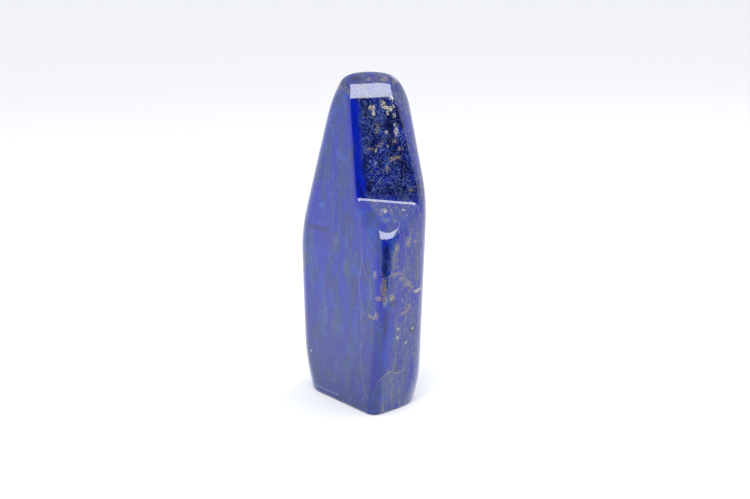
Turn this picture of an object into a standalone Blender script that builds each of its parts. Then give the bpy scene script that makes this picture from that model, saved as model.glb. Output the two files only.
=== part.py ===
"""A polished, free-standing piece of lapis lazuli, cut from one block.

The stone is worked the way a lapidary grinds it: flat facets are taken off a block one after
another, and the edge between two facets is then ground round. The upper front corner is
ground back further than the lower one, which leaves a ledge across the front.
"""

import math

import bmesh
import bpy
from mathutils import Vector

MM = 0.001

# Facets are placed from the front corner of the base: X runs towards the narrow face, Y
# away from the broad face and Z up. Each has the compass direction it faces, in degrees
# from -Y towards +X, how far it leans back from upright, and a point on it in millimetres.
BROAD = (0.5, 3.4, (0.0, -2.6, 0.0))
NARROW = (97.0, -3.4, (4.7, 0.0, 0.0))
NARROW_UPPER = (92.5, 18.5, (6.6, 17.6, 80.0))
BACK = (178.0, 0.0, (0.0, 25.0, 60.0))
LEFT_FOOT = (-80.0, -26.0, (-39.5, 0.0, 0.0))
LEFT_LOWER = (-90.0, -7.0, (-45.7, 0.0, 20.0))
LEFT_UPPER = (-92.0, 16.5, (-49.0, 3.0, 67.0))
LEFT_CROWN = (-85.0, 45.0, (-30.0, 8.0, 115.8))
RIGHT_FOOT = (135.0, -41.0, (3.9, 21.9, 0.0))
BASE = (0.0, -90.0, (0.0, 0.0, 0.0))
NOSE = (62.0, 11.0, (6.4, 1.8, 69.7))
CROWN = (-145.0, 77.0, (-18.0, 13.0, 124.5))
WINDOW = (41.5, 9.5, (-11.1, 2.7, 79.5))
BROW = (39.5, 36.0, (-18.4, 3.6, 117.2))
SHOULDER = (43.0, 38.5, (-9.2, 3.6, 78.6))

# How round each kind of edge is ground, in millimetres.
CORNER_RADIUS = 6.0
SIDE_RADIUS = 8.0
CROWN_RADIUS = 8.0
BEND_RADIUS = 46.0
WINDOW_RADIUS = 3.0
BROW_RADIUS = 35.0
NOSE_RADIUS = 12.5
LEDGE_END_RADIUS = 6.0
BASE_RADIUS = 1.2

# The widest turn between two neighbouring flats of a rounded edge, in degrees.
TURN = 11.0
BASE_TURN = 30.0
BLOCK = 320.0
LOWER_BLOCK = 300.0

STONE_COLOUR = (0.020, 0.022, 0.260, 1.0)
STONE_ROUGHNESS = 0.12


def clear_scene():
    for obj in list(bpy.data.objects):
        bpy.data.objects.remove(obj, do_unlink=True)


def facing(facet):
    """The outward normal of a facet."""
    turn, lean = math.radians(facet[0]), math.radians(facet[1])
    return Vector((math.sin(turn) * math.cos(lean), -math.cos(turn) * math.cos(lean), math.sin(lean)))


def block(size):
    """A cube of rough, larger than the stone, around its middle."""
    bm = bmesh.new()
    bmesh.ops.create_cube(bm, size=size * MM)
    bmesh.ops.translate(bm, verts=bm.verts, vec=Vector((-20.0, 10.0, 60.0)) * MM)
    return bm


def grind(bm, point, normal):
    """Take off everything beyond a plane and close the face that this leaves."""
    geometry = bm.verts[:] + bm.edges[:] + bm.faces[:]
    cut = bmesh.ops.bisect_plane(
        bm, geom=geometry, dist=1e-7, plane_co=point * MM, plane_no=normal, clear_outer=True
    )
    rim = [item for item in cut["geom_cut"] if isinstance(item, bmesh.types.BMEdge)]
    rim = [edge for edge in rim if edge.is_boundary]
    if rim:
        bmesh.ops.holes_fill(bm, edges=rim, sides=0)


def grind_facet(bm, facet):
    grind(bm, Vector(facet[2]), facing(facet))


def grind_round(bm, first, second, radius, turn=TURN):
    """Grind the edge between two facets round, as flats that touch one cylinder."""
    a, b = facing(first), facing(second)
    along = a.cross(b)
    reach_a = a.dot(Vector(first[2])) - radius
    reach_b = b.dot(Vector(second[2])) - radius
    axis = (b.cross(along) * reach_a + along.cross(a) * reach_b) / along.length_squared
    angle = a.angle(b)
    flats = max(1, round(math.degrees(angle) / turn) - 1)
    for step in range(1, flats + 1):
        share = step / (flats + 1)
        normal = (a * math.sin((1 - share) * angle) + b * math.sin(share * angle)) / math.sin(angle)
        grind(bm, axis + normal * radius, normal)


def upper_cut():
    """What the upper front corner is ground back to: the long window facet and its brow."""
    bm = block(BLOCK)
    grind_facet(bm, WINDOW)
    grind_facet(bm, BROW)
    grind_round(bm, WINDOW, BROW, BROW_RADIUS)
    grind_round(bm, WINDOW, BROAD, WINDOW_RADIUS)
    grind_round(bm, WINDOW, NARROW_UPPER, WINDOW_RADIUS)
    grind_round(bm, BROW, BROAD, SIDE_RADIUS)
    grind_round(bm, BROW, NARROW_UPPER, SIDE_RADIUS)
    return bm


def lower_cut():
    """What the lower part is ground to: the shoulder under the ledge, rounded over the front."""
    bm = block(LOWER_BLOCK)
    grind_facet(bm, SHOULDER)
    grind_round(bm, SHOULDER, BROAD, LEDGE_END_RADIUS)
    grind_round(bm, SHOULDER, NARROW, LEDGE_END_RADIUS)
    grind_round(bm, SHOULDER, NOSE, NOSE_RADIUS)
    return bm


def new_object(name, bm):
    mesh = bpy.data.meshes.new(name)
    bm.to_mesh(mesh)
    bm.free()
    obj = bpy.data.objects.new(name, mesh)
    bpy.context.scene.collection.objects.link(obj)
    return obj


def ledged_block():
    """The two cuts joined into one block with a ledge across its front corner."""
    stone = new_object("stone", upper_cut())
    lower = new_object("lower cut", lower_cut())
    join = stone.modifiers.new("ledge", 'BOOLEAN')
    join.operation = 'UNION'
    join.solver = 'EXACT'
    join.object = lower
    joined = stone.evaluated_get(bpy.context.evaluated_depsgraph_get())
    bm = bmesh.new()
    bm.from_mesh(joined.to_mesh())
    joined.to_mesh_clear()
    stone.modifiers.remove(join)
    bpy.data.objects.remove(lower, do_unlink=True)
    return stone, bm


def grind_body(bm):
    """The faces all round the stone, its foot and its crown."""
    sides = (BROAD, NARROW, NARROW_UPPER, BACK, LEFT_FOOT, LEFT_LOWER, LEFT_UPPER, RIGHT_FOOT)
    for facet in sides + (LEFT_CROWN, CROWN, NOSE):
        grind_facet(bm, facet)
    grind_round(bm, BROAD, NARROW, CORNER_RADIUS)
    grind_round(bm, BROAD, NOSE, SIDE_RADIUS)
    grind_round(bm, NOSE, NARROW, SIDE_RADIUS)
    grind_round(bm, NARROW, NARROW_UPPER, BEND_RADIUS)
    grind_round(bm, LEFT_LOWER, LEFT_UPPER, BEND_RADIUS)
    grind_round(bm, LEFT_FOOT, LEFT_LOWER, BEND_RADIUS)
    for side in (LEFT_FOOT, LEFT_LOWER, LEFT_UPPER):
        grind_round(bm, BROAD, side, SIDE_RADIUS)
        grind_round(bm, BACK, side, SIDE_RADIUS)
    for side in (NARROW, NARROW_UPPER, RIGHT_FOOT):
        grind_round(bm, BACK, side, SIDE_RADIUS)
    for side in (BROAD, BACK, NARROW_UPPER, LEFT_CROWN, BROW):
        grind_round(bm, CROWN, side, CROWN_RADIUS)
    for side in (BROAD, BACK, LEFT_UPPER):
        grind_round(bm, LEFT_CROWN, side, CROWN_RADIUS)


def grind_base(bm):
    """The small flat spot that the stone stands on, with its edge just broken."""
    grind_facet(bm, BASE)
    for side in (BROAD, NARROW, BACK, LEFT_FOOT, RIGHT_FOOT):
        grind_round(bm, BASE, side, BASE_RADIUS, BASE_TURN)


def centre_on_base(bm):
    """Put the origin under the middle of the stone's bounding box."""
    xs = [vert.co.x for vert in bm.verts]
    ys = [vert.co.y for vert in bm.verts]
    middle = Vector(((min(xs) + max(xs)) / 2, (min(ys) + max(ys)) / 2, 0.0))
    bmesh.ops.translate(bm, verts=bm.verts, vec=-middle)
    return middle


def polished_lapis():
    material = bpy.data.materials.new("polished lapis lazuli")
    material.use_nodes = True
    shader = material.node_tree.nodes["Principled BSDF"]
    shader.inputs["Base Color"].default_value = STONE_COLOUR
    shader.inputs["Roughness"].default_value = STONE_ROUGHNESS
    shader.inputs["Metallic"].default_value = 0.0
    material.diffuse_color = STONE_COLOUR
    return material


def build_stone():
    stone, bm = ledged_block()
    grind_body(bm)
    grind_base(bm)
    bmesh.ops.remove_doubles(bm, verts=bm.verts, dist=2e-5)
    bmesh.ops.dissolve_degenerate(bm, edges=bm.edges, dist=1e-5)
    corner = centre_on_base(bm)
    bmesh.ops.recalc_face_normals(bm, faces=bm.faces)
    bm.to_mesh(stone.data)
    bm.free()
    stone.data.materials.append(polished_lapis())
    print("front corner of the base from the middle, mm:", [round(-v / MM, 2) for v in corner])
    return stone


def main():
    clear_scene()
    build_stone()


main()
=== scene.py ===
"""The looks of a polished, free-standing piece of lapis lazuli, on a white table in a light tent."""

from math import cos, pi, radians, sin

import bpy
import numpy as np
from bpy.props import FloatProperty, FloatVectorProperty, PointerProperty
from bpy.types import Operator, Panel, PropertyGroup
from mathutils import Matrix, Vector


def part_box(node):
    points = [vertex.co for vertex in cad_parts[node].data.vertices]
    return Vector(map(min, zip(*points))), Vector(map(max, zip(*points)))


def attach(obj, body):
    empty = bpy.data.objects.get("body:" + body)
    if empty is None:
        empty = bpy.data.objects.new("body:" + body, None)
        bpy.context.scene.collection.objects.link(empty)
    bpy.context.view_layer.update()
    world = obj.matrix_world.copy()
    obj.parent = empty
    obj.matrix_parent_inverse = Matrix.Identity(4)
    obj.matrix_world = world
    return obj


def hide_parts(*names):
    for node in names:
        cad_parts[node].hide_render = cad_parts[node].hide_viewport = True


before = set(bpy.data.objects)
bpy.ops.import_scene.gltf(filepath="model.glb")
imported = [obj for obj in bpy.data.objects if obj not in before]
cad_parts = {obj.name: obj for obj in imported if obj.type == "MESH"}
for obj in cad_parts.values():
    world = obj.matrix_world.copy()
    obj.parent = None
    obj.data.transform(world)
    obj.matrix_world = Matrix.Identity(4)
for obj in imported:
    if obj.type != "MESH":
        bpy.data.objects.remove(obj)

bl_info = {
    "name": "Standing lapis lazuli",
    "version": (1, 0, 0),
    "blender": (4, 5, 0),
    "location": "3D View > Sidebar > Lapis",
    "description": "Grinds and polishes a standing piece of lapis lazuli and sets it in a light tent",
    "category": "Add Mesh",
}

MM = 0.001
LOW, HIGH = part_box("stone")
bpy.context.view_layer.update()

# Places are in millimetres in the frame's axes. The front base corner is where the broad and the narrow
# face meet at the table, and most places are easiest to measure from it.
CORNER = np.array((21.3, -11.8, 0.0))


def facing(turn, lean):
    """The outward direction of a face turned that far from -Y towards +X and leaning up, in degrees."""
    a, t = radians(turn), radians(lean)
    return np.array((sin(a) * cos(t), -cos(a) * cos(t), sin(t)))


class Facet:
    """One ground flat: the way it faces, and a point on it measured from the front base corner."""

    def __init__(self, turn, lean, point):
        self.out = facing(turn, lean)
        self.point = CORNER + np.array(point)
        self.across = np.array((cos(radians(turn)), sin(radians(turn)), 0.0))

    def above(self, p):
        """How far points stand outside the flat, negative inside."""
        return (p - self.point) @ self.out


# The flats round the body.
BROAD = Facet(0.6, 3.4, (0, -2.6, 0))
NARROW = Facet(97, -3.4, (4.7, 0, 0))
NARROW_UPPER = Facet(92.4, 18.6, (6.7, 17.6, 79.6))
BACK = Facet(178, 0, (0, 25.1, 60))
RIGHT_FOOT = Facet(135.5, -41.3, (4.2, 21.5, 0))
LEFT_FOOT = Facet(-80, -25.7, (-39.5, 0, 0))
LEFT_LOWER = Facet(-90, -7.2, (-45.8, 0, 20))
LEFT_UPPER = Facet(-92, 16.5, (-49, 3, 67))
LEFT_CROWN = Facet(-85, 42.1, (-33.3, 8, 118))
# The cut across the upper front corner: a dark window, the brow over it and the shoulder under it.
WINDOW = Facet(41.7, 9.3, (-11.1, 2.7, 79.6))
BROW = Facet(39.6, 35.9, (-18.4, 3.6, 117.2))
SHOULDER = Facet(42.9, 38.6, (-9.2, 3.6, 78.6))
# The crown is part of a low dome, whose own top would be outside the stone.
DOME_TOP = CORNER + np.array((-3.2, -2.6, 137.7))
DOME_RADIUS = 24.1

# How the flats run into each other, in millimetres.
BEND = 46
BROW_ROUND = 32.4
LEDGE_HOLLOW = 1.5
WINDOW_EDGES = (1.3, 3.2)
SHOULDER_EDGE = 9.4
TOP_EDGE = 10.3
CROWN_BEND = 8
FRONT_CROWN_ROUND = 17.5
# Heights between which the front corner's round grows, and over which the window's edge does.
CORNER_GROWS = (35, 72)
WINDOW_EDGE_GROWS = (112, 122)
# Where across the window its left edge's round ends and its right edge's begins.
WINDOW_SPAN = (3, 14)
# How much further a place is outside the window than outside the shoulder where the shoulder's own edge
# begins, and where it is whole.
SHOULDER_EDGE_GROWS = (-1, 5)
# Rough cosines of the angles between the two sides that each round joins.
FOOT_JOIN = 0.94
CROWN_JOIN = 0.93
SIDES_TO_CROWN_JOIN = 0.3
FRONT_TO_CROWN_JOIN = 0.55
LEDGE_JOIN = 0.6
CUT_JOIN = 0.7
STRAIGHTEST_BEND = 0.985
# The shallow waves that hand polishing leaves: how high each is beside the others, and the two ripples that
# it is made of, in radians a millimetre along x, y and z and as a start.
POLISH_WAVES = (
    (1.0, (0.13, 0, 0, 0.9), (0, 0.21, 0.11, 0)),
    (1.0, (0, 0, 0.17, 2.0), (0.07, 0.19, 0, 0)),
    (0.25, (0.47, 0, 0.2, 0), (0, -0.3, 0.41, 1.1)),
)

# The photograph: its size in pixels, where its camera stands, in degrees and millimetres, and its lens.
PHOTO_SIZE = (750, 499)
PHOTO_TURN = 52.77
PHOTO_RISE = 15.0
PHOTO_DISTANCE = 630.4
VIEW_MIDDLE = (3.1, 4.1, 56.3)
LENS = 80.0
SENSOR = 36.0
# A face turned further from the camera than this cosine shows no mark, and one turned further sideways than
# the second makes a mark no wider.
LEAST_FACING = 0.15
MOST_ASLANT = 0.5

# Marks, by kind: how ragged and how soft their edge is in millimetres, then for each its middle, half its
# width and half its height in the photograph's pixels. Most were read there, and some of the broad,
# soft ones were placed by trial, to bring the colour of a patch nearer.
MARKS = {
    "calcite": (2.0, 0.2, (
        (382.5, 103.5, 2.2, 3), (386, 107.5, 3, 2), (390, 109, 3.2, 2.2), (393, 106.5, 2, 1.5),
        (388, 112.5, 1.5, 2.5), (372, 107.5, 3, 3), (373.5, 113.5, 1.6, 2.6), (394.2, 115.5, 1.7, 2.2),
        (395, 124.5, 1.7, 1.7), (396, 130.5, 2.2, 3), (396, 135, 1.2, 2), (386.5, 132, 1.8, 1.8),
        (388, 146.5, 1, 1.2), (376, 151, 1, 1.2), (391, 98.5, 2, 1.5), (398, 329, 1.5, 1.5),
        (397.5, 337.5, 1.2, 1.8), (406, 342, 1.2, 1.6), (412.5, 328, 1.4, 1.4), (403.5, 210, 1.8, 1.5),
        (416.5, 291, 2.6, 2.2), (420, 288.5, 2, 1.4), (311.5, 351, 1, 1), (384, 211, 3.5, 2.2),
        (406, 215.5, 1.4, 1.2),
    )),
    "ochre": (2.6, 0.35, (
        (370.5, 149, 3, 1.1), (379, 146.5, 2, 1.2), (382, 143.5, 1, 2.4), (392, 159, 2.2, 2),
        (396.5, 157.5, 3, 2.2), (387.5, 168.5, 2.4, 3), (400, 148.5, 2.2, 1.6), (395, 141, 2, 2),
        (377, 128, 1.2, 4), (411, 190, 2, 2), (396.5, 274.5, 3, 2.2), (401, 279.5, 2.4, 2.2),
        (407.5, 284, 3, 3.2), (412, 287.5, 1.8, 1.6), (391.8, 297.5, 3.4, 3.4), (402.7, 313.5, 2.4, 2),
        (406, 311, 2, 1.5), (409, 306, 1.8, 3), (408.5, 242, 2.2, 5.5), (415, 241, 3, 1.3),
        (397.5, 248, 1.8, 5), (383.5, 288, 3.2, 11), (384.5, 301, 2.8, 6), (375, 275, 1.8, 4),
        (378, 299, 3, 2.5), (376, 316, 2, 4), (369.5, 316, 2, 2), (387, 220, 2.4, 1.4),
        (385, 79, 4, 3), (369, 79, 2.5, 2), (394, 82, 2, 3),
    )),
    "azure": (2.4, 1.2, (
        (313, 257, 4, 10), (324, 318, 3.5, 7), (355, 326, 3, 11), (385.5, 218, 7, 5), (404, 221.5, 4, 9),
        (393, 241.5, 3.5, 8), (371.5, 238, 4.5, 9), (376, 251, 2.5, 7), (390, 323, 4, 3),
        (389, 340, 3.4, 12), (385.5, 356, 3, 14), (383, 398, 4, 4), (397, 385, 3, 4), (360, 215, 5, 6),
        (322, 285, 3, 14), (353, 268, 4, 8),
    )),
    "olive": (2.4, 1.6, (
        (384, 258, 2, 15), (404, 373.5, 4.5, 9), (403, 397, 8, 5.5), (402, 355, 4, 7), (379, 119.5, 10, 16),
        (383.5, 133, 6.5, 8), (380, 186.5, 5, 4), (400, 185, 8, 7), (391.5, 163, 6.5, 8),
        (365, 153, 3.2, 21), (333, 243, 4, 9), (347, 268, 4, 7), (336, 326, 5, 11), (325, 315, 3, 9),
        (342, 366, 4, 9), (332, 378, 4, 6), (305, 258, 3, 12), (364, 115, 5, 12), (350, 152, 3, 12),
    )),
    "pure": (2.4, 1.4, (
        (389.5, 330, 4.5, 16), (386, 353.5, 4, 18), (383.5, 226, 4, 4), (349, 131, 3.5, 27),
        (354.5, 168, 3, 21), (309, 177, 4, 21),
    )),
    "navy": (2.0, 0.8, (
        (386.5, 253.5, 3, 12), (385, 272, 2.5, 13), (385.5, 327, 2, 13), (374, 147, 4, 13), (369, 188, 3, 4),
        (388.5, 190, 3.5, 5), (355.5, 78.5, 5, 2), (393, 304, 3, 2.5), (396, 369, 2, 2.5), (412, 329, 3, 4),
        # The navy mark at (319, 228) is a painted reflection: the dark arc that a small dent shows in the
        # broad face's gloss.
        (389, 123, 4, 8), (403, 166, 3, 6), (319, 228, 9, 1.6), (380, 163, 3, 8), (398, 120, 2, 5),
        (365, 165, 3, 10),
    )),
    "pyrite": (1.0, 0.1, (
        (383.5, 290, 2.2, 7), (381.5, 298, 1.6, 3), (375, 274, 1.2, 3), (372, 318, 3, 2),
        (376.5, 315, 1.4, 3), (392, 298.5, 1.8, 1.8), (384, 283, 1.6, 2), (386, 299, 1, 3),
        (387, 220, 1.6, 1), (382, 274, 1, 2.4),
    )),
}
# How far from a mark its distance is still told, in millimetres.
MARK_REACH = 3.0
# Cracks in the broad face, ochre veins in the narrow one and the paler line along the broad face's foot,
# read as well: a crack's or a line's pixels, and before a vein's its width in millimetres.
CRACKS = (
    ((359.8, 217), (360.2, 238), (361.6, 256), (359.3, 285), (361.6, 307), (361.5, 325), (362, 350)),
    ((361, 254), (364, 270), (371, 292), (369, 305)),
    ((361, 340), (362, 375), (370, 402)),
)
VEINS = (
    (0.5, ((386, 281), (393, 275), (399.5, 273.5), (406, 280), (410.6, 285), (415.6, 291), (420.6, 288.5))),
    (0.4, ((402, 314.6), (406, 311), (410, 307))),
    (0.3, ((386, 307), (389, 301), (394.5, 297))),
    (0.25, ((376, 386), (382, 378), (389.5, 372.4), (397, 373), (404.4, 368))),
)
BASE_LINE = ((312, 380), (325, 389), (340, 395))
# The stretch over which a line fades at its ends, in millimetres.
LINE_END = 1.5

# The stone's patterns: the size of their lumps along x, y and z in millimetres, then how finely they are
# broken up, how rough that is, and where they start.
PATTERNS = {
    "fibres": ((9.0, 0.9, 16.0), 4.0, 0.6, (0, 0, 0)),
    "streaks": ((3.4, 3.4, 18.0), 4.0, 0.52, (3.3, 1.7, 0.4)),
    "columns": ((7.0, 2.8, 15.0), 3.0, 0.5, (0.6, 5.2, 2.7)),
    "lumps": ((5.0, 5.0, 5.0), 4.0, 0.62, (3.1, 0, 0)),
    "grain": ((1.1, 1.1, 1.1), 3.0, 0.65, (0, 7.7, 0)),
    "speck": ((0.55, 0.55, 0.55), 2.0, 0.6, (1.9, 0, 4.1)),
    "crystals": ((0.7, 0.7, 1.5), 2.0, 0.6, (6.3, 0.4, 0)),
    "seams": ((16.0, 9.0, 22.0), 1.5, 0.5, (8.8, 0, 0)),
}
# Finer patterns, which marks and lines break up by.
BREAKS = {
    "ragged": ((0.8, 0.8, 0.8), 3.0, 0.7, (5.5, 0, 2.2)),
    "crumbs": ((0.5, 0.5, 0.5), 2.0, 0.6, (0, 2.9, 6.1)),
    "grains": ((0.7, 0.7, 0.7), 1.0, 0.5, (9.1, 0, 0)),
}
# Patches of colour, laid over each other in this order. Each follows a blend of two patterns: a row holds
# the first one, its share of the blend, the second one, the values between which the patch comes in, how
# strong it is, the part of the stone that it is in, and its colour.
BRIGHT_PATCHES = (
    ("streaks", 0.6, "columns", 0.46, 0.55, 1.0, "open", "teal"),
    ("columns", 0.6, "lumps", 0.5, 0.6, 0.6, "open", "violet"),
    ("streaks", 0.4, "lumps", 0.52, 0.6, 0.75, "open", "azure"),
    ("streaks", 0.5, "grain", 0.53, 0.64, 0.45, "open", "dull"),
    ("everywhere", 1.0, "everywhere", 0.0, 1.0, 0.45, "low", "dull"),
    ("streaks", 0.5, "grain", 0.36, 0.58, 0.8, "olive", "slate"),
    ("grain", 0.7, "fibres", 0.52, 0.66, 0.22, "all", "navy"),
    ("fibres", 0.7, "lumps", 0.46, 0.6, 0.6, "window", "navy"),
    ("speck", 0.6, "streaks", 0.52, 0.64, 0.2, "open", "grey"),
    ("crystals", 1.0, "crystals", 0.58, 0.7, 0.25, "open", "pale"),
)
UPPER_PATCHES = (
    ("lumps", 0.6, "grain", 0.42, 0.58, 1.0, "all", "midnight"),
    ("grain", 0.5, "speck", 0.5, 0.6, 0.8, "all", "slate"),
    ("speck", 0.7, "lumps", 0.55, 0.63, 0.8, "all", "pale"),
)
LOWER_PATCHES = (
    ("fibres", 0.6, "grain", 0.42, 0.58, 1.0, "all", "grey"),
    ("columns", 0.7, "fibres", 0.46, 0.56, 0.85, "all", "ultramarine"),
    ("lumps", 0.6, "grain", 0.53, 0.62, 0.5, "all", "midnight"),
    ("crystals", 0.6, "fibres", 0.52, 0.64, 0.5, "all", "straw"),
)
# How far the stone is warped before its patterns are read, in millimetres, and how many warps a millimetre.
WARP = 1.5
WARPS = 0.3

# The window: how far out along its own direction its flat stands, how deep behind that its look goes, and
# the heights over which it begins.
WINDOW_GAP = float(WINDOW.point @ WINDOW.out)
WINDOW_DEPTH = -1.5
WINDOW_STARTS = (75.0, 80.0)
# Heights between which the foot's dull blue gives out, and how many millimetres the columns move that by.
LOW_PART = (35.0, 75.0)
LOW_RAGGED = 60.0
# Depths behind the broad face over which the bright layer ends, and how far lumps and streaks move that.
BRIGHT_LAYER = (2.4, 3.6)
LAYER_LUMPS = 2.0
LAYER_STREAKS = 1.6
# Heights over which the layer gives way to the deeper stone at the crown, and how far it is moved there.
LAYER_THINS = (113.0, 121.0)
CROWN_DEPTH = 6.0
# How much thinner it is behind the window, and thicker at the front corner between these heights.
WINDOW_THINNER = 0.4
CORNER_THICKENS = (12.0, 22.0)
CORNER_THINS = (36.0, 48.0)
CORNER_THICKER = 3.6
# Heights over which the deeper stone darkens, how far lumps move that, and how dark the crown is beside it.
DARK_ABOVE = (79.0, 86.0)
DARK_RAGGED = 6.0
CROWN_DARK = 0.5

# How strongly each kind of mark shows, and the values of a pattern between which it comes in.
MARK_SHOWS = {
    "azure": (0.7, 0.35, 0.6),
    "olive": (0.7, 0.42, 0.6),
    "pure": (1.0, 0.7, 0.5),
    "navy": (0.85, 0.3, 0.5),
    "ochre": (1.0, 0.3, 0.52),
    "calcite": (0.75, 0.38, 0.56),
    "pyrite": (1.0, 0.52, 0.58),
}
# The same for the lines.
LINE_SHOWS = {
    "crack": (0.6, 0.3, 0.45),
    "vein": (0.9, 0.28, 0.4),
    "seam": (1.0, 0.35, 0.55),
    "rim": (0.5, 0.35, 0.5),
}
# How much all that is ochre covers, and the values of a pattern over which it turns to straw.
OCHRE_SHARE = 0.5
OCHRE_TO_STRAW = (0.42, 0.58)
# Widths and soft edges of the lines, and how far they wander, in millimetres.
CRACK_WIDTH, CRACK_SOFT = 0.1, 0.14
RIM_WIDTH, RIM_SOFT = 0.4, 0.5
VEIN_SOFT = 0.3
WANDER = 0.5
VEIN_WANDER = 1.0
# How wide a seam at the back is, as values of its pattern, and where on y the back begins.
SEAM_WIDTH = (0.004, 0.012)
BACK_STARTS = (11.5, 13.5)
# Where on y the broad face ends and on x the narrow face begins.
BROAD_ENDS = (-9.5, -8.5)
NARROW_STARTS = (20.5, 21.5)
# Values of the patterns over which loose grains of pyrite come in.
LOOSE_GRAINS = (0.7, 0.73)
LOOSE_PLACES = (0.5, 0.6)

# The polish: how rough it is, how much rougher pyrite is, and how far cracks and pyrite are sunk in it.
POLISH = 0.06
PYRITE_ROUGHER = 0.2
RELIEF = 0.25
RELIEF_DEPTH = 0.05 * MM
GLOSS = {"IOR": 1.5, "Coat Weight": 0.5, "Coat Roughness": 0.03}

# The core that the skin is felt for from: a slab this far inside it, between these heights, measured at so
# many levels, outwards from where its middle is on y.
CORE_INSET = 13
CORE_HEIGHTS = (15, 108)
CORE_LEVELS = 60
CORE_MIDDLE = -1.0
# The core's sides stand in by no more than this share of the stone's width.
CORE_WIDEST_INSET = 0.45


def ease(value, low, high):
    """0 below low, 1 above high, smooth between."""
    t = np.clip((value - low) / (high - low), 0, 1)
    return t * t * (3 - 2 * t)


def rounded(a, b, radius, cosine=0.0):
    """The outer of two heights, with a round of that radius where they meet at the angle of that cosine."""
    u, v = a + radius, b + radius
    arc = np.sqrt(np.maximum(u * u + v * v - 2 * cosine * u * v, 0) / (1 - cosine * cosine)) - radius
    return np.where((u > cosine * v) & (v > cosine * u), arc, np.maximum(a, b))


def hollowed(a, b, radius, cosine):
    """The inner of two heights, with a hollow of that radius where they meet."""
    return -rounded(-a, -b, radius, cosine)


def bent(first, second, p, radius=BEND):
    """Two flats that are nearly one, joined by a wide bend."""
    cosine = min(float(first.out @ second.out), STRAIGHTEST_BEND)
    return rounded(first.above(p), second.above(p), radius, cosine)


def above_dome(p):
    """How far points stand over the crown's dome."""
    off = p - DOME_TOP
    out = off[..., 0] ** 2 + off[..., 1] ** 2
    return (off[..., 2] + out / (2 * DOME_RADIUS)) / np.sqrt(1 + out / DOME_RADIUS**2)


def polish_waves(p, height):
    """How far the shallow waves left by hand polishing stand in from the flats."""
    waves = 0.0
    for share, first, second in POLISH_WAVES:
        ripples = [np.sin(p @ np.array(ripple[:3]) + ripple[3]) for ripple in (first, second)]
        waves = waves + share * ripples[0] * ripples[1]
    return height * waves


def front_edge(p, front, shoulder):
    """How round the cut's edge is: tight by the window, wide round the shoulder and towards the crown."""
    tight, wide = WINDOW_EDGES
    window = tight + (wide - tight) * ease(p @ WINDOW.across, *WINDOW_SPAN)
    edge = window + (SHOULDER_EDGE - window) * ease(front - shoulder, *SHOULDER_EDGE_GROWS)
    return edge + (TOP_EDGE - SHOULDER_EDGE / 2) * ease(p[..., 2], *WINDOW_EDGE_GROWS)


def skin(p, sizes):
    """How far points stand outside the polished surface, in millimetres."""
    z = p[..., 2]
    corner = (sizes.corner_low + (sizes.corner_high - sizes.corner_low) * ease(z, *CORNER_GROWS)) / MM
    left = rounded(bent(LEFT_LOWER, LEFT_UPPER, p), LEFT_FOOT.above(p), BEND, FOOT_JOIN)
    crown = rounded(above_dome(p), LEFT_CROWN.above(p), CROWN_BEND, CROWN_JOIN)
    front = bent(WINDOW, BROW, p, BROW_ROUND)
    shoulder = SHOULDER.above(p)
    cut = hollowed(front, shoulder, LEDGE_HOLLOW, LEDGE_JOIN)

    body = rounded(BROAD.above(p), bent(NARROW, NARROW_UPPER, p), corner)
    body = rounded(body, left, sizes.left_round / MM)
    body = rounded(body, bent(BACK, RIGHT_FOOT, p, BEND / 2), sizes.back_round / MM)
    body = rounded(body, crown, sizes.crown_round / MM, SIDES_TO_CROWN_JOIN)
    body = rounded(body, cut, front_edge(p, front, shoulder), CUT_JOIN)
    body = rounded(body, crown, FRONT_CROWN_ROUND, FRONT_TO_CROWN_JOIN)
    body = body + polish_waves(p, sizes.waves / MM)
    return rounded(body, -z, sizes.base_round / MM)


def feel(start, way, sizes, reach=60.0, steps=26):
    """Points where rays from inside leave the stone, found by halving."""
    near = np.zeros(len(start))
    far = np.full(len(start), reach)
    for _ in range(steps):
        middle = (near + far) / 2
        inside = skin(start + way * middle[:, None], sizes) < 0
        near = np.where(inside, middle, near)
        far = np.where(inside, far, middle)
    return start + way * ((near + far) / 2)[:, None]


def box_of_cells(counts):
    """A box's surface as square cells: whole-number corners, and each cell's four, in order facing out."""
    quads = []
    for axis in range(3):
        across, up = (axis + 1) % 3, (axis + 2) % 3
        i, j = np.meshgrid(np.arange(counts[across]), np.arange(counts[up]), indexing="ij")
        for side in (0, counts[axis]):
            cell = np.zeros(i.shape + (4, 3), int)
            cell[..., axis] = side
            turns = ((0, 0), (1, 0), (1, 1), (0, 1)) if side else ((0, 0), (0, 1), (1, 1), (1, 0))
            for corner, (di, dj) in enumerate(turns):
                cell[..., corner, across] = i + di
                cell[..., corner, up] = j + dj
            quads.append(cell.reshape(-1, 4, 3))
    quads = np.concatenate(quads)
    corners, index = np.unique(quads.reshape(-1, 3), axis=0, return_inverse=True)
    return corners, index.reshape(-1, 4)


def span(heights, way, sizes):
    """How far the stone reaches from its middle at each height, along one level direction."""
    middle = np.stack([np.zeros_like(heights), np.full_like(heights, CORE_MIDDLE), heights], -1)
    reached = feel(middle, np.broadcast_to(way, middle.shape), sizes)
    return (reached - middle) @ np.array(way)


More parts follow.
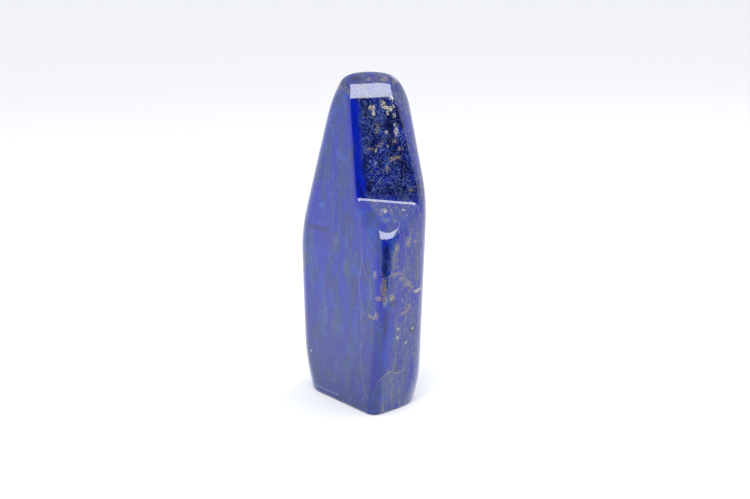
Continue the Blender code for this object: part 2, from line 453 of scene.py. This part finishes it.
def stone_points(sizes):
    """The stone's surface as points and square cells."""
    counts = [round(side) for side in (HIGH - LOW) / sizes.cell]
    corners, quads = box_of_cells(counts)
    share = corners / np.array(counts)
    z = share[:, 2] * HIGH.z / MM
    level = np.clip(z, *CORE_HEIGHTS)
    heights = np.linspace(*CORE_HEIGHTS, CORE_LEVELS)
    left, right, front, back = [
        np.interp(level, heights, span(heights, way, sizes))
        for way in ((-1.0, 0.0, 0.0), (1.0, 0.0, 0.0), (0.0, -1.0, 0.0), (0.0, 1.0, 0.0))
    ]
    across = -left + (right + left) * share[:, 0]
    deep = CORE_MIDDLE - front + (back + front) * share[:, 1]
    inset = np.minimum(CORE_INSET, CORE_WIDEST_INSET * (right + left))
    core = np.clip(across, inset - left, right - inset)
    start = np.stack([core, CORE_MIDDLE + (back - front) / 2, level], -1)
    way = np.stack([across, deep, z], -1) - start
    way = way / np.linalg.norm(way, axis=1)[:, None]
    return feel(start, way, sizes), quads


def view_from(turn, rise):
    """Across, up and back towards a camera turned from -Y towards +X and raised above level, in radians."""
    across = np.array((cos(turn), sin(turn), 0.0))
    back = np.array((sin(turn) * cos(rise), -cos(turn) * cos(rise), sin(rise)))
    return across, np.cross(back, across), back


class Photo:
    """What the photograph's camera sees of the stone, which gives the places of what was read."""

    def __init__(self, points, outward):
        self.points, self.outward = points, outward
        self.across, self.up, self.back = view_from(radians(PHOTO_TURN), radians(PHOTO_RISE))
        off = points - (np.array(VIEW_MIDDLE) + self.back * PHOTO_DISTANCE)
        self.per_mm = PHOTO_SIZE[0] * LENS / SENSOR / -(off @ self.back)
        self.x = PHOTO_SIZE[0] / 2 + off @ self.across * self.per_mm
        self.y = PHOTO_SIZE[1] / 2 - off @ self.up * self.per_mm
        self.rays = off / np.linalg.norm(off, axis=1)[:, None]
        self.hidden = -(self.rays * outward).sum(1) < LEAST_FACING

    def nearest(self, x, y):
        """Which point is seen nearest to a pixel."""
        off = np.hypot(self.x - x, self.y - y)
        return int(np.argmin(np.where(self.hidden, np.inf, off)))

    def place(self, x, y):
        """The place on the stone that is seen at a pixel."""
        near = self.nearest(x, y)
        step = (self.across * (x - self.x[near]) - self.up * (y - self.y[near])) / self.per_mm[near]
        ray, out = self.rays[near], self.outward[near]
        return self.points[near] + step - ray * (step @ out) / (ray @ out)

    def spread(self, x, y):
        """How many millimetres a pixel covers there, along the stone's level girth and up it."""
        near = self.nearest(x, y)
        level, back = self.outward[near, :2], self.back[:2]
        aslant = level @ back / (np.linalg.norm(level) * np.linalg.norm(back))
        return 1 / self.per_mm[near] / max(aslant, MOST_ASLANT), 1 / self.per_mm[near]


def mark_distances(points, marks, photo):
    """How far outside the nearest mark points are, negative inside, in millimetres."""
    nearest = np.full(len(points), MARK_REACH)
    for x, y, half_width, half_height in marks:
        off = points - photo.place(x, y)
        wide, tall = np.array((half_width, half_height)) * photo.spread(x, y)
        away = np.hypot(np.hypot(off[:, 0], off[:, 1]) / wide, off[:, 2] / tall)
        nearest = np.minimum(nearest, (away - 1) * min(wide, tall))
    return nearest


def write_marks(made, points, photo):
    """Tells the material how far each point is from every kind of mark."""
    for name, (_, _, marks) in MARKS.items():
        layer = made.data.attributes.new(name, "FLOAT", "POINT")
        layer.data.foreach_set("value", mark_distances(points, marks, photo).astype(np.float32))


def outward_of(made):
    """The outward directions at a mesh's points."""
    outward = np.empty((len(made.data.vertices), 3), np.float32)
    made.data.vertex_normals.foreach_get("vector", outward.ravel())
    return outward


def new_mesh(name, points, faces):
    """An object at the origin whose place is in its mesh."""
    mesh = bpy.data.meshes.new(name)
    mesh.from_pydata(points.tolist(), [], faces.tolist())
    mesh.shade_smooth()
    made = bpy.data.objects.new(name, mesh)
    bpy.context.scene.collection.objects.link(made)
    return made


class Wire:
    """A number or a colour on its way through a material. Sums on numbers add Math nodes."""

    def __init__(self, finish, socket):
        self.finish = finish
        self.socket = socket

    def __add__(self, other):
        return self.finish.sum("ADD", self, other)

    def __sub__(self, other):
        return self.finish.sum("SUBTRACT", self, other)

    def __mul__(self, other):
        return self.finish.sum("MULTIPLY", self, other)

    def __truediv__(self, other):
        return self.finish.sum("DIVIDE", self, other)

    def __radd__(self, other):
        return self.finish.sum("ADD", other, self)

    def __rsub__(self, other):
        return self.finish.sum("SUBTRACT", other, self)

    def __rmul__(self, other):
        return self.finish.sum("MULTIPLY", other, self)

    def __rtruediv__(self, other):
        return self.finish.sum("DIVIDE", other, self)

    def __abs__(self):
        return self.finish.sum("ABSOLUTE", self)


class Finish:
    """A material and the nodes that make it."""

    def __init__(self, name):
        self.material = bpy.data.materials.new(name)
        self.material.use_nodes = True
        self.tree = self.material.node_tree
        self.tree.nodes.clear()

    def node(self, kind, settings=None, sockets=None, output=0):
        """One node: its settings first, then the values or wires of its sockets."""
        made = self.tree.nodes.new(kind)
        for name, value in (settings or {}).items():
            if name == "curve":
                self.bend_curve(made, value)
            else:
                setattr(made, name, value)
        for name, value in (sockets or {}).items():
            if isinstance(value, Wire):
                self.tree.links.new(value.socket, made.inputs[name])
            else:
                made.inputs[name].default_value = value
        return Wire(self, made.outputs[output]) if made.outputs else None

    def bend_curve(self, made, points):
        """Puts a Float Curve's points in place."""
        curve = made.mapping.curves[0]
        while len(curve.points) < len(points):
            curve.points.new(0.5, 0.5)
        for spot, place in zip(curve.points, points):
            spot.location = place
        made.mapping.update()

    def sum(self, operation, *terms):
        """A Math node on numbers."""
        return self.node("ShaderNodeMath", {"operation": operation}, dict(enumerate(terms)))

    def vector(self, operation, *terms, output=0):
        """A Vector Math node."""
        return self.node("ShaderNodeVectorMath", {"operation": operation}, dict(enumerate(terms)), output)

    def rise(self, value, low, high):
        """0 where a value is below low, 1 above high, smooth between."""
        return self.node(
            "ShaderNodeMapRange",
            {"interpolation_type": "SMOOTHSTEP"},
            {"Value": value, "From Min": low, "From Max": high},
        )

    def fall(self, value, low, high):
        """1 where a value is below low, 0 above high, smooth between."""
        return 1 - self.rise(value, low, high)

    def greatest(self, shares):
        """The greatest of some numbers."""
        most = shares[0]
        for share in shares[1:]:
            most = self.sum("MAXIMUM", most, share)
        return most

    def mixed(self, share, first, second):
        """A colour between two."""
        return self.node(
            "ShaderNodeMix",
            {"data_type": "RGBA"},
            {0: share, 6: colour(first), 7: colour(second)},
            2,
        )

    def along(self, place, way):
        """How far places lie along a direction."""
        return self.vector("DOT_PRODUCT", place, tuple(way), output=1)

    def clouds(self, place, sizes, detail, rough, start):
        """Soft noise between 0 and 1 with lumps of those sizes in millimetres along x, y and z."""
        where = self.node(
            "ShaderNodeMapping",
            {"vector_type": "POINT"},
            {"Vector": place, "Location": start, "Scale": tuple(1 / size for size in sizes)},
        )
        return self.node(
            "ShaderNodeTexNoise",
            None,
            {"Vector": where, "Scale": 1.0, "Detail": detail, "Roughness": rough},
        )

    def surface(self, **sockets):
        """The Principled shader and the output."""
        shader = self.node("ShaderNodeBsdfPrincipled", None, sockets)
        self.node("ShaderNodeOutputMaterial", None, {"Surface": shader})
        return self.material


def colour(value):
    """A colour as a node takes it: a wire as it is, three numbers with a fourth of 1."""
    return value if isinstance(value, Wire) else (*value[:3], 1.0)


def marked(value, noise, ragged, soft):
    """1 inside marks whose distance is given, with an edge made ragged by noise and soft, in millimetres."""
    f = value.finish
    return f.fall(value + (noise - 0.5) * ragged, -soft, soft)


def line(along, across, points, width, soft):
    """1 on a thin line through points given along and across, 0 away from it and past its ends."""
    f = along.finish
    (first, last), (low, high) = [(min(row), max(row)) for row in zip(*points)]
    curve = [((a - first) / (last - first), (b - low) / (high - low)) for a, b in sorted(points)]
    share = f.node("ShaderNodeFloatCurve", {"curve": curve}, {"Value": (along - first) / (last - first)})
    away = abs(across - (share * (high - low) + low))
    ends = f.rise(along, first, first + LINE_END) * f.fall(along, last - LINE_END, last)
    return f.fall(away, width / 2, width / 2 + soft) * ends


def shown(f, spots, name, pattern):
    """How strongly a kind of mark shows, broken up by a pattern."""
    strength, first, last = MARK_SHOWS[name]
    return spots[name] * f.rise(pattern, first, last) * strength


def patched(f, base, patches, patterns, parts, colours):
    """A colour with patches of others over it."""
    shade = base
    for first, share, second, low, high, strength, part, name in patches:
        blend = patterns[first] * share + patterns[second] * (1 - share)
        shade = f.mixed(f.rise(blend, low, high) * strength * parts[part], shade, getattr(colours, name))
    return shade


def bright_depth(f, height, depth, window, patterns):
    """How deep in the stone a place is, as the bright layer's end takes it."""
    moved = depth + (patterns["lumps"] - 0.5) * LAYER_LUMPS + (patterns["streaks"] - 0.5) * LAYER_STREAKS
    moved = moved + f.rise(height, *LAYER_THINS) * CROWN_DEPTH + window * WINDOW_THINNER
    return moved - f.rise(height, *CORNER_THICKENS) * f.fall(height, *CORNER_THINS) * CORNER_THICKER


def ground_mass(f, colours, patterns, place, spots):
    """The stone under its marks: a bright layer behind the broad face, and greyer stone behind that."""
    height = f.along(place, (0, 0, 1))
    depth = f.along(place, -BROAD.out) + float(BROAD.point @ BROAD.out)
    behind = f.along(place, WINDOW.out) - WINDOW_GAP
    window = f.rise(behind, WINDOW_DEPTH, 0) * f.rise(height, *WINDOW_STARTS)
    low = f.fall(height + patterns["columns"] * LOW_RAGGED, *LOW_PART)
    parts = {"all": 1.0, "open": 1 - window, "window": window, "low": low, "olive": spots["olive"]}

    bright = patched(f, colours.ultramarine, BRIGHT_PATCHES, patterns, parts, colours)
    upper = patched(f, colours.navy, UPPER_PATCHES, patterns, parts, colours)
    lower = patched(f, colours.grey_blue, LOWER_PATCHES, patterns, parts, colours)
    darkened = window * f.rise(height + patterns["lumps"] * DARK_RAGGED, *DARK_ABOVE)
    dark = f.greatest([darkened, f.rise(height, *LAYER_THINS) * CROWN_DARK])
    grain = patterns["grain"]
    deep = f.mixed(shown(f, spots, "olive", grain), f.mixed(dark, lower, upper), colours.slate)

    layer = bright_depth(f, height, depth, window, patterns)
    body = f.mixed(f.fall(layer, *BRIGHT_LAYER), deep, bright)
    body = f.mixed(shown(f, spots, "pure", grain), body, colours.ultramarine)
    # Navy spots, one of which is a painted reflection: the dark arc of a small dent in the broad face.
    body = f.mixed(shown(f, spots, "navy", grain), body, colours.navy)
    return body, f.rise(layer, *BRIGHT_LAYER)


def stone_lines(f, place, patterns, breaks, photo):
    """The cracks, the veins, the seams at the back and the line along the foot, each as a number."""
    x, y, z = [f.along(place, way) for way in np.eye(3)]
    front = f.fall(y, *BROAD_ENDS)
    side = f.rise(x, *NARROW_STARTS)
    wobble = breaks["ragged"] - 0.5

    def routed(pixels, first, second):
        """A line's places on two of the axes."""
        return [photo.place(*pixel)[[first, second]].tolist() for pixel in pixels]

    wander = wobble * WANDER
    cracks = [line(z, x + wander, routed(pixels, 2, 0), CRACK_WIDTH, CRACK_SOFT) for pixels in CRACKS]
    sway = wobble * VEIN_WANDER
    veins = [line(y, z + sway, routed(pixels, 1, 2), width, VEIN_SOFT) for width, pixels in VEINS]
    crumbs = breaks["crumbs"]
    drawn = {
        "crack": f.greatest(cracks) * front,
        "vein": f.greatest(veins) * side,
        "seam": f.fall(abs(patterns["seams"] - 0.5), *SEAM_WIDTH) * f.rise(y, *BACK_STARTS),
        "rim": line(x, z + wander, routed(BASE_LINE, 0, 2), RIM_WIDTH, RIM_SOFT) * front,
    }
    return {name: drawn[name] * f.rise(crumbs, low, high) for name, (_, low, high) in LINE_SHOWS.items()}


def lapis(colours, photo):
    """Polished lapis lazuli with calcite, ochre veins and grains of pyrite."""
    f = Finish("polished_lapis")
    place = f.vector("MULTIPLY", f.node("ShaderNodeTexCoord", output=3), (1 / MM, 1 / MM, 1 / MM))
    noise = f.node("ShaderNodeTexNoise", None, {"Vector": place, "Scale": WARPS, "Detail": 2.0}, 1)
    warp = f.vector("SUBTRACT", noise, (0.5, 0.5, 0.5))
    warped = f.vector("MULTIPLY_ADD", warp, (WARP, WARP, WARP), place)
    patterns = {name: f.clouds(warped, *pattern) for name, pattern in PATTERNS.items()}
    patterns["everywhere"] = 1.0
    breaks = {name: f.clouds(place, *pattern) for name, pattern in BREAKS.items()}
    ragged, crumbs = breaks["ragged"], breaks["crumbs"]
    away = {name: f.node("ShaderNodeAttribute", {"attribute_name": name}, output=2) for name in MARKS}
    spots = {name: marked(away[name], ragged, rag, soft) for name, (rag, soft, _) in MARKS.items()}
    lines = stone_lines(f, place, patterns, breaks, photo)
    inked = {name: lines[name] * LINE_SHOWS[name][0] for name in lines}

    body, deep = ground_mass(f, colours, patterns, warped, spots)
    body = f.mixed(shown(f, spots, "azure", ragged), body, colours.azure)
    body = f.mixed(inked["rim"], body, colours.pale)
    ochre = f.greatest([shown(f, spots, "ochre", crumbs), inked["vein"], inked["seam"]])
    stain = f.mixed(f.rise(ragged, *OCHRE_TO_STRAW), colours.ochre, colours.straw)
    body = f.mixed(ochre * OCHRE_SHARE, body, stain)
    body = f.mixed(inked["crack"], body, colours.straw)
    body = f.mixed(shown(f, spots, "calcite", crumbs), body, colours.calcite)
    loose = f.rise(breaks["grains"], *LOOSE_GRAINS) * f.rise(ragged, *LOOSE_PLACES) * deep
    pyrite = f.greatest([shown(f, spots, "pyrite", crumbs), loose])
    body = f.mixed(pyrite, body, colours.pyrite)

    relief = f.node(
        "ShaderNodeBump",
        None,
        {"Strength": RELIEF, "Distance": RELIEF_DEPTH, "Height": (lines["crack"] + pyrite) * -1.0},
    )
    varied = {"Base Color": body, "Roughness": POLISH + pyrite * PYRITE_ROUGHER, "Metallic": pyrite}
    return f.surface(**varied, **GLOSS, Normal=relief)


class LapisStoneSizes(PropertyGroup):
    """The cells of the stone's surface, and its rounds."""

    cell: FloatProperty(
        name="Cell", description="Side of the cells that the surface is made of",
        default=0.56 * MM, unit="LENGTH",
    )
    corner_low: FloatProperty(
        name="Corner round, low", description="Front corner's round at the foot",
        default=4.1 * MM, unit="LENGTH",
    )
    corner_high: FloatProperty(
        name="Corner round, high", description="Front corner's round under the shoulder",
        default=8.8 * MM, unit="LENGTH",
    )
    left_round: FloatProperty(
        name="Left round", description="Round up the left side", default=9.0 * MM, unit="LENGTH"
    )
    back_round: FloatProperty(
        name="Back round", description="Round between the sides and the back",
        default=7.5 * MM, unit="LENGTH",
    )
    crown_round: FloatProperty(
        name="Crown round", description="Round between the sides and the dome",
        default=7.5 * MM, unit="LENGTH",
    )
    base_round: FloatProperty(
        name="Base round", description="Round at the foot", default=0.9 * MM, unit="LENGTH"
    )
    waves: FloatProperty(
        name="Polish waves", description="Height of the waves left by hand polishing",
        default=0.02 * MM, unit="LENGTH",
    )


class LapisColours(PropertyGroup):
    """The stone's colours."""

    ultramarine: FloatVectorProperty(
        name="Ultramarine", description="The bright layer", subtype="COLOR", default=(0.001, 0.010, 0.29)
    )
    violet: FloatVectorProperty(
        name="Violet", description="Duller columns in the bright layer", subtype="COLOR",
        default=(0.010, 0.015, 0.16),
    )
    azure: FloatVectorProperty(
        name="Azure", description="Lighter, greener blue patches", subtype="COLOR",
        default=(0.006, 0.055, 0.36),
    )
    teal: FloatVectorProperty(
        name="Teal", description="Greener streaks in the bright layer", subtype="COLOR",
        default=(0.003, 0.028, 0.18),
    )
    dull: FloatVectorProperty(
        name="Dull blue", description="Duller, darker patches of the bright layer", subtype="COLOR",
        default=(0.005, 0.016, 0.09),
    )
    slate: FloatVectorProperty(
        name="Slate", description="Grey-green streaks and specks", subtype="COLOR",
        default=(0.035, 0.06, 0.15),
    )
    navy: FloatVectorProperty(
        name="Navy", description="The darkest of the deeper stone", subtype="COLOR",
        default=(0.002, 0.003, 0.04),
    )
    midnight: FloatVectorProperty(
        name="Midnight", description="Brighter lumps of the deeper stone high up", subtype="COLOR",
        default=(0.004, 0.011, 0.175),
    )
    grey_blue: FloatVectorProperty(
        name="Grey blue", description="The deeper stone low down", subtype="COLOR",
        default=(0.02, 0.042, 0.21),
    )
    grey: FloatVectorProperty(
        name="Grey", description="Greyer fibres low down", subtype="COLOR", default=(0.07, 0.09, 0.19)
    )
    pale: FloatVectorProperty(
        name="Pale blue", description="Pale specks high up", subtype="COLOR", default=(0.13, 0.18, 0.30)
    )
    straw: FloatVectorProperty(
        name="Straw", description="Pale, yellowish specks and the cracks", subtype="COLOR",
        default=(0.22, 0.20, 0.15),
    )
    ochre: FloatVectorProperty(
        name="Ochre", description="Veins and stained patches", subtype="COLOR", default=(0.34, 0.26, 0.12)
    )
    calcite: FloatVectorProperty(
        name="Calcite", description="Cream calcite", subtype="COLOR", default=(0.52, 0.49, 0.42)
    )
    pyrite: FloatVectorProperty(
        name="Pyrite", description="Brassy grains", subtype="COLOR", default=(0.42, 0.32, 0.16)
    )


class LapisStudio(PropertyGroup):
    """The light tent and the camera."""

    turn: FloatProperty(
        name="Camera turn", description="From the broad face towards the narrow one",
        default=radians(PHOTO_TURN), subtype="ANGLE",
    )
    rise: FloatProperty(
        name="Camera rise", description="Above level", default=radians(PHOTO_RISE), subtype="ANGLE"
    )
    distance: FloatProperty(
        name="Camera distance", description="From the middle of the view",
        default=PHOTO_DISTANCE * MM, unit="LENGTH",
    )
    tent: FloatProperty(name="Tent", description="Brightness of the white tent", default=1.12)
    back_light: FloatProperty(name="Back light", description="Brightness of the light behind", default=3.0)
    lamp: FloatProperty(name="Lamp", description="Brightness of the panel over the opening", default=7.3)


# The table's side in metres.
TABLE_SIZE = 8.0
# The table's colour holds painted shade: it is a little greyer far behind the stone, between these distances
# in millimetres.
TABLE_NEAR = (0.93, 0.94, 0.95)
TABLE_FAR_SHADED = (0.80, 0.805, 0.825)
TABLE_SHADE_FADES = (150.0, 700.0)
TABLE_ROUGHNESS = 0.7
TABLE_SHINE = 0.1
# The darkness behind the tent's open front.
DARK_ROOM = (0.004, 0.004, 0.005)
TENT_WHITE = (0.97, 0.98, 1.0)
# The tent's open front, in millimetres from the front base corner: its distance towards the camera, then the
# dark opening and the lamp panel, each by its lower left and upper right corners, across the view and up.
FRONT_DISTANCE = 250.0
OPENING = ((-210.0, 0.0), (120.0, 250.0))
LAMP = ((-250.0, 250.0), (-5.0, 410.0))
# The light behind: where it hangs and where it aims, across the view, away from the camera and up.
BACK_LIGHT = (260.0, 260.0, 460.0)
BACK_LIGHT_AIM = (130.0, 130.0)
BACK_LIGHT_SIDE = 260.0


def front_panel(name, limits, studio):
    """An upright panel in the plane of the tent's front, facing the stone."""
    across, up, towards = view_from(studio.turn, 0.0)
    (left, low), (right, high) = limits
    start = CORNER + towards * FRONT_DISTANCE
    corners = ((left, low), (left, high), (right, high), (right, low))
    points = [start + across * u + up * v for u, v in corners]
    return new_mesh(name, np.array(points) * MM, np.array([[0, 1, 2, 3]]))


def paint(made, material):
    """Gives an object one material."""
    made.data.materials.clear()
    made.data.materials.append(material)


def build_table(studio):
    """The white table, with painted shade that makes it greyer behind the stone."""
    side = TABLE_SIZE / 2
    points = np.array([(-side, -side, 0), (side, -side, 0), (side, side, 0), (-side, side, 0)], float)
    made = new_mesh("table", points, np.array([[0, 1, 2, 3]]))
    f = Finish("white_table")
    towards = view_from(studio.turn, 0.0)[2]
    behind = f.along(f.node("ShaderNodeTexCoord", output=3), -towards / MM)
    # Painted shade: the table's colour greys with the distance behind the stone.
    shade = f.mixed(f.rise(behind, *TABLE_SHADE_FADES), TABLE_NEAR, TABLE_FAR_SHADED)
    look = {"Base Color": shade, "Roughness": TABLE_ROUGHNESS, "Specular IOR Level": TABLE_SHINE}
    paint(made, f.surface(**look))


def build_opening(studio):
    """The dark room behind the tent's open front, which only reflections see."""
    made = front_panel("opening", OPENING, studio)
    paint(made, Finish("dark_room").surface(**{"Base Color": colour(DARK_ROOM), "Roughness": 1.0}))
    made.visible_camera = False
    made.visible_shadow = False
    made.visible_diffuse = False


def build_lamp(studio):
    """The soft panel over the opening, in the plane of the tent's front."""
    across, _, towards = view_from(studio.turn, 0.0)
    (left, low), (right, high) = LAMP
    wide, tall = (right - left) * MM, (high - low) * MM
    light = bpy.data.lights.new("lamp", "AREA")
    light.shape = "RECTANGLE"
    light.size = wide
    light.size_y = tall
    light.energy = studio.lamp * pi * wide * tall
    made = bpy.data.objects.new("lamp", light)
    middle = CORNER + towards * FRONT_DISTANCE + across * (left + right) / 2
    made.location = Vector((middle[0], middle[1], (low + high) / 2)) * MM
    made.rotation_euler = Vector(towards).to_track_quat("Z", "Y").to_euler()
    made.visible_camera = False
    bpy.context.scene.collection.objects.link(made)


def build_back_light(studio):
    """The soft light over the table behind the stone, which makes the table brightest to its right."""
    across, _, towards = view_from(studio.turn, 0.0)
    right, behind, up = BACK_LIGHT
    side = BACK_LIGHT_SIDE * MM
    light = bpy.data.lights.new("back_light", "AREA")
    light.shape = "SQUARE"
    light.size = side
    light.energy = studio.back_light * pi * side * side
    made = bpy.data.objects.new("back_light", light)
    place = CORNER + across * right - towards * behind
    made.location = Vector((place[0], place[1], up)) * MM
    aim = CORNER + across * BACK_LIGHT_AIM[0] - towards * BACK_LIGHT_AIM[1]
    made.rotation_euler = (made.location - Vector(aim) * MM).to_track_quat("Z", "Y").to_euler()
    made.visible_camera = False
    bpy.context.scene.collection.objects.link(made)


def build_tent(studio):
    """The white of the tent all round."""
    world = bpy.data.worlds.new("tent")
    world.use_nodes = True
    sky = world.node_tree.nodes["Background"]
    sky.inputs["Color"].default_value = colour(TENT_WHITE)
    sky.inputs["Strength"].default_value = studio.tent
    bpy.context.scene.world = world


def build_camera(studio):
    """The photograph's camera."""
    view = bpy.data.cameras.new("view")
    view.lens = LENS
    view.sensor_width = SENSOR
    made = bpy.data.objects.new("view", view)
    back = Vector(view_from(studio.turn, studio.rise)[2])
    made.location = Vector(VIEW_MIDDLE) * MM + back * studio.distance
    made.rotation_euler = back.to_track_quat("Z", "Y").to_euler()
    bpy.context.scene.collection.objects.link(made)
    bpy.context.scene.camera = made


class LAPIS_OT_stone(Operator):
    """Grind and polish the stone"""

    bl_idname = "lapis.stone"
    bl_label = "Polished stone"

    def execute(self, context):
        sizes = context.scene.lapis_sizes
        points, faces = stone_points(sizes)
        made = new_mesh("lapis_stone", points * MM, faces)
        photo = Photo(points, outward_of(made))
        write_marks(made, points, photo)
        paint(made, lapis(context.scene.lapis_colours, photo))
        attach(made, "root")
        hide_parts("stone")
        return {"FINISHED"}


class LAPIS_OT_studio(Operator):
    """Set up the table, the light tent and the camera"""

    bl_idname = "lapis.studio"
    bl_label = "Table, tent and camera"

    def execute(self, context):
        studio = context.scene.lapis_studio
        context.scene.view_settings.view_transform = "Standard"
        build_table(studio)
        build_opening(studio)
        build_lamp(studio)
        build_back_light(studio)
        build_tent(studio)
        build_camera(studio)
        return {"FINISHED"}


class LAPIS_PT_panel(Panel):
    """The stone's steps, in order"""

    bl_label = "Lapis"
    bl_idname = "LAPIS_PT_panel"
    bl_space_type = "VIEW_3D"
    bl_region_type = "UI"
    bl_category = "Lapis"

    def draw(self, context):
        column = self.layout.column()
        for step in STEPS:
            column.operator(step.bl_idname)


STEPS = (LAPIS_OT_stone, LAPIS_OT_studio)
SETTINGS = {"lapis_sizes": LapisStoneSizes, "lapis_colours": LapisColours, "lapis_studio": LapisStudio}


def register():
    for made in (*SETTINGS.values(), *STEPS, LAPIS_PT_panel):
        bpy.utils.register_class(made)
    for name, group in SETTINGS.items():
        setattr(bpy.types.Scene, name, PointerProperty(type=group))


def unregister():
    for name in SETTINGS:
        delattr(bpy.types.Scene, name)
    for made in (LAPIS_PT_panel, *STEPS, *SETTINGS.values()):
        bpy.utils.unregister_class(made)


def main():
    register()
    bpy.ops.lapis.stone()
    bpy.ops.lapis.studio()


if __name__ == "__main__":
    main()
